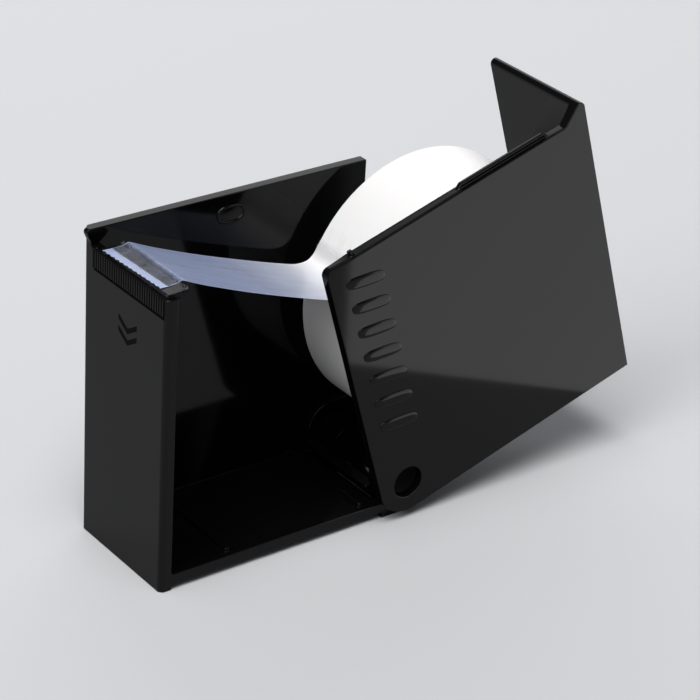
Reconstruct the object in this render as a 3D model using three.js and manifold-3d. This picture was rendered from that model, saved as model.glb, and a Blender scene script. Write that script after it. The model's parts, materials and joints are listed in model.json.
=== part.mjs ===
// Two-part box tape dispenser, swung open on its hinge. Millimetres, +Z up.
// The shells are laid out in a layout frame: X runs back from the front wall's outer face,
// Y runs from the near edge of the base to the far wall, Z runs up from the table.
// The cover is laid out from the hinge axis in its closed attitude, U back and V up,
// and its group turns it open.
import * as THREE from "three";
import { mergeVertices } from "three/addons/utils/BufferGeometryUtils.js";
import Module from "manifold-3d";

const wasm = await Module();
wasm.setup();

// Driving dimensions
const LENGTH = 66;
const HEIGHT = 68.3;
const BASE_WIDTH = 29.13;
const WALL = 2.27;
const FRONT_WALL = 2.7;
const FLOOR_BOTTOM = 1.2;
const FLOOR_TOP = 3.6;
const HINGE = { x: 58.9, z: 8.7 };
const OPEN_ANGLE = THREE.MathUtils.degToRad(72.67);
const CORNER_R = 6.9;
const SIDE_GAP = 0.3;
const RUN_GAP = 0.35;
const TAPE_WIDTH = 19;
const TAPE_Y0 = 3.8;
const ROLL_R = 28.8;
const ROLL_U = -25.4;
const ROLL_V = 27.2;
const PIN_HOLE_R = 3.5;
const PIN_HEAD_R = 3.4;
const PIN_SHANK_R = 2.2;
const SHANK_HOLE_R = 2.25;

// Where the part's origin lies in the layout frame: the middle of the pad, on the table
const PAD = { length: 38, width: 21, top: 0.5 };
const ORIGIN_X = 33;
const ORIGIN_Y = 13.3;

// Places that several pieces share
const FAR_INNER = BASE_WIDTH - WALL;
const PANEL_OUT = -SIDE_GAP - WALL;
const COVER_FAR = 25.1;
const EAR = { y0: 24.2, y1: 26.4, top: 24 };
const LUG = { y0: 0.1, y1: 3.0, r: 6.3, x0: 54.6, x1: 63 };
const SILL_Y = 8;
const WALL_TOP = 64.5;
const GRIP = { y0: 0.9, y1: 26.1, z0: 60.3, depth: 0.9, rib: 0.45, pitch: 0.82 };
const BALLAST = { x0: 4.6, x1: 52.2, y0: 1.6, y1: 25.2, z0: 0.6, z1: 2.45 };
const POCKET_GAP = 0.15;
const POCKET_TOP = 2.55;
const TOP_WALL = { u0: -62.1, v0: HEIGHT - 2.2 - HINGE.z, v1: HEIGHT - HINGE.z };
const PANEL = { front: 0.44 - HINGE.x, flareV: 62.8 - HINGE.z, bottom: -CORNER_R };
const REAR_INNER = CORNER_R - 2.3;
const NOTCH_V = 7.1;
const NOTCH_Y = 3.3;
const CUTTER = { y0: 1.0, y1: 24.0, x0: 0.7, x1: 5.7, z0: 64.6, rise: 1.1, hook: 1.5 };

// Materials, one for each mesh
const gloss = () => new THREE.MeshStandardMaterial({ color: 0x0b0b0d, roughness: 0.12, metalness: 0 });
const satin = () => new THREE.MeshStandardMaterial({ color: 0x161618, roughness: 0.5, metalness: 0 });
const steel = () => new THREE.MeshStandardMaterial({ color: 0x9a9da1, roughness: 0.35, metalness: 0.9 });
const rubber = () => new THREE.MeshStandardMaterial({ color: 0x1d1d1d, roughness: 0.9, metalness: 0 });
const clear = () => new THREE.MeshStandardMaterial({ color: 0xb9bcc4, roughness: 0.1, metalness: 0 });
const film = () => new THREE.MeshStandardMaterial({ color: 0xc9d4f2, roughness: 0.35, metalness: 0 });
const tape = () => new THREE.MeshStandardMaterial({ color: 0xf2f2f0, roughness: 0.4, metalness: 0 });
const card = () => new THREE.MeshStandardMaterial({ color: 0xb79b74, roughness: 0.9, metalness: 0 });
const felt = () => new THREE.MeshStandardMaterial({ color: 0x55524c, roughness: 1, metalness: 0 });

// Solids: three.js makes every shape, manifold-3d joins and cuts
function solid(geometry) {
  const bare = geometry.index ? geometry.toNonIndexed() : geometry.clone();
  bare.deleteAttribute("normal");
  bare.deleteAttribute("uv");
  const merged = mergeVertices(bare, 1e-4);
  return new wasm.Manifold(
    new wasm.Mesh({
      numProp: 3,
      vertProperties: merged.attributes.position.array,
      triVerts: new Uint32Array(merged.index.array),
    }),
  );
}

const join = (first, ...others) => others.reduce((whole, piece) => whole.add(piece), first);
const cut = (first, ...others) => others.reduce((whole, piece) => whole.subtract(piece), first);

function mesh(name, body, material) {
  const made = body.getMesh();
  const positions = new Float32Array(made.numVert * 3);
  for (let i = 0; i < made.numVert; i++) {
    for (let k = 0; k < 3; k++) positions[3 * i + k] = made.vertProperties[made.numProp * i + k];
  }
  const geometry = new THREE.BufferGeometry();
  geometry.setAttribute("position", new THREE.BufferAttribute(positions, 3));
  geometry.setIndex(new THREE.BufferAttribute(new Uint32Array(made.triVerts), 1));
  geometry.computeVertexNormals();
  const result = new THREE.Mesh(geometry, material);
  result.name = name;
  return result;
}

function box(x0, x1, y0, y1, z0, z1) {
  const made = new THREE.BoxGeometry(x1 - x0, y1 - y0, z1 - z0);
  return solid(made.translate((x0 + x1) / 2, (y0 + y1) / 2, (z0 + z1) / 2));
}

// A side outline, in X and Z, made solid from y0 to y1
function slab(outline, y0, y1, curveSegments = 8) {
  const made = new THREE.ExtrudeGeometry(outline, { depth: y1 - y0, bevelEnabled: false, curveSegments });
  return solid(made.rotateX(Math.PI / 2).translate(0, y1, 0));
}

// A plan outline, in X and Y, made solid from z0 to z1
function column(outline, z0, z1, curveSegments = 6) {
  const made = new THREE.ExtrudeGeometry(outline, { depth: z1 - z0, bevelEnabled: false, curveSegments });
  return solid(made.translate(0, 0, z0));
}

// A round bar along Y
function bar(x, z, r, y0, y1, segments = 40) {
  const made = new THREE.CylinderGeometry(r, r, y1 - y0, segments);
  return solid(made.translate(x, (y0 + y1) / 2, z));
}

// A turned piece about an axis along Y at (x, z); its profile lists radius and Y
function turned(profile, x, z, segments = 48) {
  const points = profile.map(([r, y]) => new THREE.Vector2(r, y));
  return solid(new THREE.LatheGeometry(points, segments).translate(x, 0, z));
}

function polygon(points) {
  return new THREE.Shape(points.map(([x, y]) => new THREE.Vector2(x, y)));
}

// A rectangle with round corners: radii of its corners at (x0,y0), (x1,y0), (x1,y1), (x0,y1)
function rounded(x0, x1, y0, y1, radii) {
  const [a, b, c, d] = radii;
  const shape = new THREE.Shape();
  shape.moveTo(x0 + a, y0);
  shape.lineTo(x1 - b, y0);
  if (b > 0) shape.absarc(x1 - b, y0 + b, b, -Math.PI / 2, 0, false);
  shape.lineTo(x1, y1 - c);
  if (c > 0) shape.absarc(x1 - c, y1 - c, c, 0, Math.PI / 2, false);
  shape.lineTo(x0 + d, y1);
  if (d > 0) shape.absarc(x0 + d, y1 - d, d, Math.PI / 2, Math.PI, false);
  shape.lineTo(x0, y0 + a);
  if (a > 0) shape.absarc(x0 + a, y0 + a, a, Math.PI, 1.5 * Math.PI, false);
  return shape;
}

// Base: front wall, floor and far wall in one moulding
function farWall() {
  const tip = 0.9;
  const outline = polygon([
    [0, 0],
    [LENGTH, 0],
    [LENGTH, HEIGHT],
    [-0.3, HEIGHT],
    [-tip, HEIGHT - 0.6],
    [-tip, HEIGHT - 1.6],
    [0, HEIGHT - 2.6],
  ]);
  return slab(outline, FAR_INNER, BASE_WIDTH);
}

function frontWall() {
  const wall = column(rounded(0, FRONT_WALL, 0, BASE_WIDTH - 1, [1.2, 0.4, 0, 0]), 0, WALL_TOP);
  const gripPocket = box(-1, GRIP.depth, GRIP.y0, GRIP.y1, GRIP.z0, WALL_TOP + 1);
  return cut(wall, gripPocket);
}

// The sill carries the floor's line back to the far wall's rear end, under the hinge
function floor() {
  const plate = box(FRONT_WALL - 0.5, 57, 0, FAR_INNER + 0.5, FLOOR_BOTTOM, FLOOR_TOP);
  const sill = box(46, LENGTH - 0.2, SILL_Y, FAR_INNER + 0.5, 0, FLOOR_TOP);
  const ribs = [16.8, 49.8].map((x) => box(x - 0.5, x + 0.5, 1.4, FAR_INNER + 0.5, FLOOR_TOP - 0.2, 4.4));
  const pocket = box(
    BALLAST.x0 - POCKET_GAP,
    BALLAST.x1 + POCKET_GAP,
    BALLAST.y0 - POCKET_GAP,
    BALLAST.y1 + POCKET_GAP,
    -1,
    POCKET_TOP,
  );
  const sweep = bar(HINGE.x, HINGE.z, CORNER_R + RUN_GAP, -1, FAR_INNER, 96);
  return cut(join(plate, sill, ...ribs), pocket, sweep, aboveOpenCover());
}

// Everything above the underside that the rear wall has when the cover is open
function aboveOpenCover() {
  const reach = 40;
  const across = new THREE.Vector2(Math.sin(OPEN_ANGLE), Math.cos(OPEN_ANGLE));
  const outward = new THREE.Vector2(Math.cos(OPEN_ANGLE), -Math.sin(OPEN_ANGLE));
  const foot = outward.clone().multiplyScalar(CORNER_R + RUN_GAP).add(new THREE.Vector2(HINGE.x, HINGE.z));
  const end = foot.clone().addScaledVector(across, reach);
  const raised = outward.clone().multiplyScalar(-reach);
  const outline = new THREE.Shape([foot, end, end.clone().add(raised), foot.clone().add(raised)]);
  return slab(outline, -1, FAR_INNER - 0.01);
}

// The near hinge lug stands behind the near panel's round corner
function nearLug() {
  const eye = bar(HINGE.x, HINGE.z, LUG.r, LUG.y0, LUG.y1, 48);
  const foot = polygon([
    [LUG.x0, 0],
    [LUG.x1, 0],
    [HINGE.x + LUG.r * 0.9, HINGE.z],
    [HINGE.x - LUG.r * 0.9, HINGE.z],
    [LUG.x0, FLOOR_TOP],
  ]);
  const web = box(BALLAST.x1 + 0.3, HINGE.x, LUG.y0, LUG.y1, FLOOR_BOTTOM, FLOOR_TOP);
  const post = join(eye, slab(foot, LUG.y0, LUG.y1), web);
  return cut(post, bar(HINGE.x, HINGE.z, SHANK_HOLE_R, -1, LUG.y1 + 1));
}

function baseShell() {
  const farBore = bar(HINGE.x, HINGE.z, SHANK_HOLE_R, FAR_INNER - 1, FAR_INNER + 1.6);
  const shell = join(farWall(), frontWall(), floor());
  return cut(join(shell, nearLug()), farBore);
}

function fingerGrip() {
  const gap = 0.05;
  const y0 = GRIP.y0 + gap;
  const y1 = GRIP.y1 - gap;
  const strip = box(0.4, GRIP.depth - gap, y0, y1, GRIP.z0 + gap, WALL_TOP - gap);
  const count = Math.floor((y1 - y0) / GRIP.pitch);
  const first = (y0 + y1 - (count - 1) * GRIP.pitch) / 2;
  const ribs = [];
  for (let i = 0; i < count; i++) {
    const y = first + i * GRIP.pitch;
    ribs.push(box(0.02, 0.5, y - GRIP.rib / 2, y + GRIP.rib / 2, GRIP.z0 + 0.5, WALL_TOP - gap));
  }
  return join(strip, ...ribs);
}

// Clear bar along the top of the front wall; its rear lip is a row of teeth
function cutterBar() {
  const { x0, x1, y0, y1, z0, rise, hook } = CUTTER;
  const back = FRONT_WALL + 0.05;
  const outline = polygon([
    [x0, z0],
    [back, z0],
    [back, z0 - hook],
    [back + 0.35, z0 - hook],
    [x1 - 0.4, z0 + 0.45],
    [x1, z0 + rise],
    [x1 - 0.7, z0 + rise - 0.3],
    [3, z0 + rise - 0.35],
    [x0, z0 + rise - 0.5],
  ]);
  const blank = slab(outline, y0, y1);
  const pitch = 1;
  const notches = [];
  for (let y = y0 + pitch; y < y1 - 0.1; y += pitch) {
    const notch = polygon([
      [x1 - 0.45, y],
      [x1 + 0.3, y - 0.45],
      [x1 + 0.3, y + 0.45],
    ]);
    notches.push(column(notch, z0 + 0.3, z0 + 3));
  }
  return cut(blank, ...notches);
}

function ballastPlate() {
  const outline = rounded(BALLAST.x0, BALLAST.x1, BALLAST.y0, BALLAST.y1, [1, 1, 1, 1]);
  return column(outline, BALLAST.z0, BALLAST.z1);
}

function nonSlipPad() {
  const halfLength = PAD.length / 2;
  const halfWidth = PAD.width / 2;
  const outline = rounded(
    ORIGIN_X - halfLength,
    ORIGIN_X + halfLength,
    ORIGIN_Y - halfWidth,
    ORIGIN_Y + halfWidth,
    [2, 2, 2, 2],
  );
  return column(outline, 0, PAD.top);
}

// A shouldered pin: its shank sits in the base and its head carries the cover
function hingePin(headY, shoulderY, tipY) {
  const head = bar(HINGE.x, HINGE.z, PIN_HEAD_R, Math.min(headY, shoulderY), Math.max(headY, shoulderY));
  const shank = bar(
    HINGE.x,
    HINGE.z,
    PIN_SHANK_R,
    Math.min(shoulderY, tipY) - 0.1,
    Math.max(shoulderY, tipY) + 0.1,
  );
  return join(head, shank);
}

// Tape lead: stuck on the cutter, over its teeth and down to the roll, which it joins tangentially
function tapeLead() {
  const thickness = 0.2;
  const path = new THREE.CatmullRomCurve3([
    new THREE.Vector3(0.35, 0, 65.44),
    new THREE.Vector3(2.8, 0, 65.46),
    new THREE.Vector3(4.8, 0, 65.58),
    new THREE.Vector3(5.75, 0, 65.8),
    new THREE.Vector3(6.6, 0, 65.55),
    new THREE.Vector3(12, 0, 63.1),
    new THREE.Vector3(22.7, 0, 58.85),
    new THREE.Vector3(34.8, 0, 54.5),
    new THREE.Vector3(44.8, 0, 51.3),
    new THREE.Vector3(48.8, 0, 51.2),
    new THREE.Vector3(50.3, 0, 53.2),
  ]);
  const points = path.getPoints(48);
  const normal = (i) => {
    const a = points[Math.max(i - 1, 0)];
    const b = points[Math.min(i + 1, points.length - 1)];
    const length = Math.hypot(b.x - a.x, b.z - a.z);
    return [(-thickness * (b.z - a.z)) / length, (thickness * (b.x - a.x)) / length];
  };
  const lower = points.map((p) => [p.x, p.z]);
  const upper = points.map((p, i) => [p.x + normal(i)[0], p.z + normal(i)[1]]);
  return slab(polygon([...lower, ...upper.reverse()]), TAPE_Y0, TAPE_Y0 + TAPE_WIDTH);
}

// Cover: near panel, top wall and rear wall in one moulding, in U and V from the hinge
function nearPanel() {
  const front = PANEL.front;
  const foot = 1.5;
  const shape = new THREE.Shape();
  shape.moveTo(front, PANEL.bottom + foot);
  shape.absarc(front + foot, PANEL.bottom + foot, foot, Math.PI, 1.5 * Math.PI, false);
  shape.lineTo(0, PANEL.bottom);
  shape.absarc(0, 0, CORNER_R, -Math.PI / 2, 0, false);
  shape.lineTo(CORNER_R, TOP_WALL.v1);
  shape.lineTo(TOP_WALL.u0 + 1.1, TOP_WALL.v1);
  shape.lineTo(TOP_WALL.u0, TOP_WALL.v1 - 1.1);
  shape.lineTo(TOP_WALL.u0 + 0.3, TOP_WALL.v1 - 2.0);
  shape.lineTo(front, PANEL.flareV);
  const panel = slab(shape, PANEL_OUT, -SIDE_GAP, 10);
  const tab = polygon([
    [front + 0.5, 34.9 - HINGE.z],
    [front - 0.9, 36.6 - HINGE.z],
    [front - 0.9, 57.9 - HINGE.z],
    [front + 0.5, 59.3 - HINGE.z],
  ]);
  const nub = box(front - 0.8, front + 0.5, PANEL_OUT + 0.8, -SIDE_GAP, 8.4 - HINGE.z, 9.4 - HINGE.z);
  return join(panel, slab(tab, -1.4, -SIDE_GAP), nub);
}

// Raised slanted bars along the panel's front edge, in place of lettering
function panelMotif() {
  const bars = [];
  const count = 7;
  const pitch = 6.1;
  const slant = 2.2;
  for (let i = 0; i < count; i++) {
    const u = 4.2 - HINGE.x + i * pitch;
    const v = 5.4 - HINGE.z;
    const rise = 9;
    const width = 2.6;
    const lozenge = polygon([
      [u, v],
      [u + width, v],
      [u + width + slant, v + rise],
      [u + slant, v + rise],
    ]);
    bars.push(slab(lozenge, PANEL_OUT - 0.35, PANEL_OUT + 0.2));
  }
  return bars;
}

function topWall() {
  const outline = polygon([
    [TOP_WALL.u0 + 0.3, TOP_WALL.v0 + 0.2],
    [TOP_WALL.u0 + 0.8, TOP_WALL.v0],
    [CORNER_R, TOP_WALL.v0],
    [CORNER_R, TOP_WALL.v1],
    [TOP_WALL.u0 + 1.1, TOP_WALL.v1],
    [TOP_WALL.u0, TOP_WALL.v1 - 1.1],
  ]);
  return slab(outline, PANEL_OUT + 0.5, COVER_FAR);
}

function rearWall() {
  const shape = new THREE.Shape();
  shape.moveTo(CORNER_R, TOP_WALL.v1 - 0.5);
  shape.lineTo(REAR_INNER, TOP_WALL.v1 - 0.5);
  shape.lineTo(REAR_INNER, 0);
  shape.absarc(0, 0, REAR_INNER, 0, -Math.PI / 2, true);
  shape.lineTo(0, -CORNER_R);
  shape.absarc(0, 0, CORNER_R, -Math.PI / 2, 0, false);
  const wall = slab(shape, PANEL_OUT + 0.5, COVER_FAR, 12);
  const notch = box(-CORNER_R - 1, CORNER_R + 1, -SIDE_GAP, NOTCH_Y, -CORNER_R - 1, NOTCH_V);
  return cut(wall, notch);
}

// The far ear runs up the rear wall as a tapering web, just inside the base's far wall
function farWeb() {
  const outline = polygon([
    [-CORNER_R * 0.9, 0],
    [CORNER_R - 0.6, 0],
    [CORNER_R - 0.6, EAR.top],
    [REAR_INNER - 0.6, EAR.top],
    [-4.5, 9],
  ]);
  return slab(outline, EAR.y0, EAR.y1);
}

function coverShell() {
  const hub = bar(ROLL_U, ROLL_V, 7, -SIDE_GAP - 0.2, 1.5, 48);
  const socket = bar(ROLL_U, ROLL_V, 3.2, -0.1, 3);
  const ear = bar(0, 0, CORNER_R, EAR.y0, EAR.y1, 64);
  const bore = bar(0, 0, PIN_HOLE_R, PANEL_OUT - 1, EAR.y1 + 1, 64);
  const shell = join(nearPanel(), topWall(), rearWall(), hub, ear, farWeb(), ...panelMotif());
  return cut(shell, socket, bore);
}

function hubSpindle() {
  const post = turned(
    [
      [0, 0.2],
      [2.9, 0.2],
      [2.9, 1.8],
      [4, 1.8],
      [4, 23],
      [3.6, 23.4],
      [1.35, 23.4],
      [1.35, 13],
      [0, 13],
    ],
    ROLL_U,
    ROLL_V,
  );
  return post;
}

function ring(inner, outer, y0, y1, segments) {
  const profile = [
    [inner, y0],
    [outer, y0],
    [outer, y1],
    [inner, y1],
    [inner, y0],
  ];
  return turned(profile, ROLL_U, ROLL_V, segments);
}

// Spool wheel: a sleeve on the spindle, a web and a rim that fills the tape's core
function coreWheel() {
  const profile = [
    [4.3, 3.0],
    [6.2, 3.0],
    [6.2, 12.4],
    [11, 12.4],
    [11, TAPE_Y0],
    [12.5, TAPE_Y0],
    [12.5, TAPE_Y0 + TAPE_WIDTH],
    [11, TAPE_Y0 + TAPE_WIDTH],
    [11, 14.4],
    [6.2, 14.4],
    [6.2, 23.2],
    [4.3, 23.2],
    [4.3, 3.0],
  ];
  return turned(profile, ROLL_U, ROLL_V);
}

function retainerScrew() {
  const profile = [
    [0, 14.5],
    [1.2, 15.2],
    [1.2, 24.5],
    [3, 24.5],
    [2.6, 25.7],
    [0, 26],
  ];
  return turned(profile, ROLL_U, ROLL_V, 32);
}

// The assembly
const base = new THREE.Group();
base.add(mesh("base_shell", baseShell(), gloss()));
base.add(mesh("finger_grip", fingerGrip(), satin()));
base.add(mesh("cutter_bar", cutterBar(), clear()));
base.add(mesh("ballast_plate", ballastPlate(), steel()));
base.add(mesh("non_slip_pad", nonSlipPad(), rubber()));
base.add(mesh("hinge_pin_near", hingePin(-1.5, LUG.y0 - 0.05, LUG.y1 - 0.2), satin()));
base.add(mesh("hinge_pin_far", hingePin(EAR.y0 + 0.3, FAR_INNER - 0.06, FAR_INNER + 1.4), satin()));
base.add(mesh("tape_lead", tapeLead(), film()));

const roll = new THREE.Group();
roll.add(mesh("core_wheel", coreWheel(), satin()));
roll.add(mesh("tape_core", ring(12.8, 14.1, TAPE_Y0, TAPE_Y0 + TAPE_WIDTH, 64), card()));
roll.add(mesh("tape_winding", ring(14.4, ROLL_R, TAPE_Y0, TAPE_Y0 + TAPE_WIDTH, 120), tape()));

const cover = new THREE.Group();
cover.position.set(HINGE.x, 0, HINGE.z);
cover.rotation.y = OPEN_ANGLE;
cover.add(mesh("cover_shell", coverShell(), gloss()));
cover.add(mesh("hub_spindle", hubSpindle(), satin()));
cover.add(mesh("drag_washer", ring(4.3, 8.5, 1.8, 2.7, 48), felt()));
cover.add(mesh("hub_washer", ring(1.6, 6.8, 23.6, 24.2, 48), steel()));
cover.add(mesh("retainer_screw", retainerScrew(), steel()));
cover.add(roll);

const dispenser = new THREE.Group();
dispenser.position.set(-ORIGIN_X, -ORIGIN_Y, 0);
dispenser.add(base, cover);

const part = new THREE.Group();
part.add(dispenser);

export default part;
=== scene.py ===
"""The looks of a two-part box tape dispenser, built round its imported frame.

Shapes are worked out in millimetres in one of two layouts, and placed in metres in the frame.
The base layout runs back from the front wall (X), across from the near edge (Y) and up (Z).
The cover layout has its origin on the hinge axis and lies in the closed attitude.
"""

import json
import logging
import math
from dataclasses import dataclass, field
from enum import Enum

import bmesh
import bpy
from mathutils import Matrix, Vector


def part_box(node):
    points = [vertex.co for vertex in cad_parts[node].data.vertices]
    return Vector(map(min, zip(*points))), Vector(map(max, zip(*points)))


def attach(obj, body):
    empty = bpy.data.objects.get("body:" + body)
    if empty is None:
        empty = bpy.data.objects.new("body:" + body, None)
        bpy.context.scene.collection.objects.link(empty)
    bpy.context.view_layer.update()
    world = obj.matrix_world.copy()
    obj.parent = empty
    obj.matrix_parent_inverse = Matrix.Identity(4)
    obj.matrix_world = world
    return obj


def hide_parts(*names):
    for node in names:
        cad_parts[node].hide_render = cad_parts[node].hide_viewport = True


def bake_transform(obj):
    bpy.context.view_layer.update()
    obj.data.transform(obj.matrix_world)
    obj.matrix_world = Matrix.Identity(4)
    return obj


LOG = logging.getLogger("tape_dispenser")

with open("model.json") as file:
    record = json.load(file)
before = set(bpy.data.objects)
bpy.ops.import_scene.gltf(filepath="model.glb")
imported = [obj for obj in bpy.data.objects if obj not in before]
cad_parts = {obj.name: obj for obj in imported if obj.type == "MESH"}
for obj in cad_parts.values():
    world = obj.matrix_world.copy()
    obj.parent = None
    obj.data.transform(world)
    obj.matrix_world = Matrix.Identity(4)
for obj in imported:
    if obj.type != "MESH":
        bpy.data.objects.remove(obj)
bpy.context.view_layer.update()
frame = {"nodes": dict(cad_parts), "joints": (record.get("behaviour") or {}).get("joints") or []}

MM = 0.001
BASE_CORNER = (-33.0, -13.3, 0.0)
ON_AXIS = 1e-6
MERGE_DISTANCE = 0.002
FLAT_ANGLE = 0.3

Point = tuple[float, float]


class Body(Enum):
    """The rigid bodies that pieces ride on."""

    BASE = "base"
    COVER = "cover"
    ROLL = "roll"


class Plane(Enum):
    """The plane that an outline is drawn in; it is made solid along the third axis."""

    SIDE = "xz"
    PLAN = "xy"


# ---------------------------------------------------------------- shader maths


class Value:
    """A number socket that arithmetic can be written on."""

    def __init__(self, tree: "ShaderTree", socket: bpy.types.NodeSocket) -> None:
        """Keeps the tree, where new Math nodes go, and the socket."""
        self.tree = tree
        self.socket = socket

    def _math(self, operation: str, *values: "Value | float") -> "Value":
        """Adds one Math node.

        Args:
            operation: the node's operation.
            values: its inputs in order.

        Returns:
            The node's result.
        """
        node = self.tree.node("ShaderNodeMath", {"operation": operation}, dict(enumerate(values)))
        return Value(self.tree, node.outputs[0])

    def __add__(self, other: "Value | float") -> "Value":
        """This plus other."""
        return self._math("ADD", self, other)

    def __radd__(self, other: float) -> "Value":
        """Other plus this."""
        return self._math("ADD", other, self)

    def __sub__(self, other: "Value | float") -> "Value":
        """This less other."""
        return self._math("SUBTRACT", self, other)

    def __rsub__(self, other: float) -> "Value":
        """Other less this."""
        return self._math("SUBTRACT", other, self)

    def __mul__(self, other: "Value | float") -> "Value":
        """This times other."""
        return self._math("MULTIPLY", self, other)

    def __rmul__(self, other: float) -> "Value":
        """Other times this."""
        return self._math("MULTIPLY", other, self)

    def __truediv__(self, other: "Value | float") -> "Value":
        """This over other."""
        return self._math("DIVIDE", self, other)

    def __pow__(self, other: "Value | float") -> "Value":
        """This to the power other."""
        return self._math("POWER", self, other)

    def wave(self) -> "Value":
        """The sine of this, in radians."""
        return self._math("SINE", self)

    def above(self, edge: float) -> "Value":
        """1 where this is over edge, else 0."""
        return self._math("GREATER_THAN", self, edge)

    def clamped(self) -> "Value":
        """This, held between 0 and 1."""
        return self._math("MAXIMUM", self._math("MINIMUM", self, 1.0), 0.0)


class ShaderTree:
    """One material's node tree."""

    def __init__(self, name: str) -> None:
        """Starts an empty material.

        Args:
            name: the material's name.
        """
        self.material = bpy.data.materials.new(name)
        self.material.use_nodes = True
        self.tree = self.material.node_tree
        self.tree.nodes.clear()

    def node(self, kind: str, settings: dict | None = None, inputs: dict | None = None) -> bpy.types.Node:
        """Adds a node.

        Args:
            kind: the node's type.
            settings: its properties, set first; "stops" gives a ramp's (position, colour) pairs.
            inputs: by socket name or number, a value, a Value, or a socket to link.

        Returns:
            The node.
        """
        made = self.tree.nodes.new(kind)
        for key, value in (settings or {}).items():
            if key == "stops":
                elements = made.color_ramp.elements
                while len(elements) < len(value):
                    elements.new(0.5)
                for element, (position, colour) in zip(elements, value):
                    element.position = position
                    element.color = (*colour, 1.0) if len(colour) == 3 else colour
            else:
                setattr(made, key, value)
        for key, value in (inputs or {}).items():
            socket = made.inputs[key]
            if isinstance(value, Value):
                self.tree.links.new(value.socket, socket)
            elif isinstance(value, bpy.types.NodeSocket):
                self.tree.links.new(value, socket)
            else:
                socket.default_value = value
        return made

    def object_coordinates(self) -> bpy.types.NodeSocket:
        """The piece's own coordinates, in metres."""
        return self.node("ShaderNodeTexCoord").outputs["Object"]

    def uv(self) -> tuple[Value, Value]:
        """The piece's own UV map, as two numbers."""
        split = self.node("ShaderNodeSeparateXYZ", None, {0: self.node("ShaderNodeTexCoord").outputs["UV"]})
        return Value(self, split.outputs[0]), Value(self, split.outputs[1])

    def xyz(self) -> tuple[Value, Value, Value]:
        """The piece's own coordinates as three numbers, in metres."""
        split = self.node("ShaderNodeSeparateXYZ", None, {0: self.object_coordinates()})
        return tuple(Value(self, output) for output in split.outputs)

    def noise(
        self, scale: float, detail: float = 2.0, stretch: tuple = (1, 1, 1), rough: float = 0.5
    ) -> Value:
        """Smooth noise on the piece's own coordinates.

        Args:
            scale: cycles in a metre.
            detail: how many finer layers it has.
            stretch: a factor on each axis.
            rough: how strong the finer layers are.

        Returns:
            The noise, about 0.5.
        """
        place = {"Vector": self.object_coordinates(), "Scale": stretch}
        mapping = self.node("ShaderNodeMapping", None, place)
        given = {"Vector": mapping.outputs[0], "Scale": scale, "Detail": detail, "Roughness": rough}
        made = self.node("ShaderNodeTexNoise", None, given)
        return Value(self, made.outputs["Fac"])

    def along(self, value: Value, scale: float, detail: float = 2.0) -> Value:
        """Noise along one number, such as a radius.

        Args:
            value: the number, in metres.
            scale: cycles in a metre.
            detail: how many finer layers it has.

        Returns:
            The noise, about 0.5.
        """
        given = {"W": value, "Scale": scale, "Detail": detail}
        made = self.node("ShaderNodeTexNoise", {"noise_dimensions": "1D"}, given)
        return Value(self, made.outputs["Fac"])

    def mix(self, factor: Value, low: tuple, high: tuple) -> bpy.types.NodeSocket:
        """A colour between low, at 0, and high, at 1."""
        given = {0: factor, 6: (*low, 1.0), 7: (*high, 1.0)}
        return self.node("ShaderNodeMix", {"data_type": "RGBA"}, given).outputs[2]

    def bump(self, height: Value, strength: float, distance: float) -> bpy.types.NodeSocket:
        """A normal from a height, in metres at full strength."""
        given = {"Height": height, "Strength": strength, "Distance": distance}
        return self.node("ShaderNodeBump", None, given).outputs[0]

    def surface(self, inputs: dict, shine: float = 1.0) -> bpy.types.Material:
        """Ends the tree in a Principled shader.

        Args:
            inputs: the shader's inputs.
            shine: how much of its reflection is kept; the rest is a dull coat of the same colour.

        Returns:
            The material.
        """
        shader = self.node("ShaderNodeBsdfPrincipled", None, inputs)
        if shine < 1.0:
            plain = {"Base Color": inputs["Base Color"], "Roughness": 1.0, "Specular IOR Level": 0.0}
            dull = self.node("ShaderNodeBsdfPrincipled", None, plain)
            shader = self.node(
                "ShaderNodeMixShader", None, {0: shine, 1: dull.outputs[0], 2: shader.outputs[0]}
            )
        self.node("ShaderNodeOutputMaterial", None, {"Surface": shader.outputs[0]})
        return self.material


# ---------------------------------------------------------------- finishes


@dataclass(frozen=True)
class GlossBlack:
    """Polished black moulding, with a faint waviness and hairline wiping marks."""

    name: str = "gloss_black"
    roughness: float = 0.05
    ior: float = 1.5
    shine: float = 0.36

    def build(self) -> bpy.types.Material:
        """Builds the node tree.

        Returns:
            The material.
        """
        tree = ShaderTree(self.name)
        cloud = tree.noise(35.0, 3.0)
        wipe = tree.noise(900.0, 2.0, (1.0, 0.06, 0.35))
        dust = tree.noise(5200.0, 1.0).above(0.735)
        colour = tree.mix(cloud * 0.6 + dust * 0.35, (0.0010, 0.0010, 0.0012), (0.0032, 0.0032, 0.0038))
        rough = self.roughness + cloud * 0.03 + wipe * 0.03 + dust * 0.2
        normal = tree.bump(tree.noise(55.0, 1.0) + wipe * 0.004, 0.25, 0.00006)
        return tree.surface(
            {"Base Color": colour, "Roughness": rough, "Normal": normal, "IOR": self.ior}, self.shine
        )


@dataclass(frozen=True)
class SatinBlack:
    """Black moulding with a fine spark-eroded grain."""

    name: str = "satin_black"
    roughness: float = 0.34
    shine: float = 0.30

    def build(self) -> bpy.types.Material:
        """Builds the node tree.

        Returns:
            The material.
        """
        tree = ShaderTree(self.name)
        grain = tree.noise(2600.0, 3.0)
        colour = tree.mix(grain, (0.0015, 0.0015, 0.0018), (0.0040, 0.0040, 0.0045))
        normal = tree.bump(grain, 0.35, 0.00003)
        rough = self.roughness + grain * 0.12
        return tree.surface({"Base Color": colour, "Roughness": rough, "Normal": normal}, self.shine)


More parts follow.
